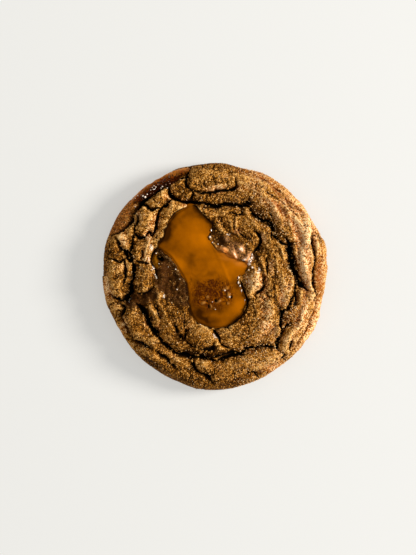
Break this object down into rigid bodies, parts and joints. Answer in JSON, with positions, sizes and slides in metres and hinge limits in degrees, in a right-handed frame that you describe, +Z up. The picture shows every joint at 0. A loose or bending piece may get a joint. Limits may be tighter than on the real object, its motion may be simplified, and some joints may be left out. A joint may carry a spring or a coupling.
{
  "type": "toffee cookie",
  "caption": "Round crackled cookie with puffed plates and rim folds, a sunken pool of melted toffee in its middle and toffee baked onto its rim.",
  "frame": {"origin": "middle of the flat base, on the surface that the cookie lies on", "axes": "+Z up through the cookie's top; +X to the right and +Y to the top of the picture, which looks straight down"},
  "size_m": [0.0893, 0.0909, 0.0152],
  "materials": {
    "dough": "baked brown crust, matte and grainy",
    "toffee": "smooth amber toffee, soft gloss",
    "dark_toffee": "dark boiled toffee, glossy"
  },
  "bodies": {
    "root": {"dough": "dough", "toffee_pool": "toffee", "toffee_leak": "dark_toffee"}
  },
  "joints": []
}
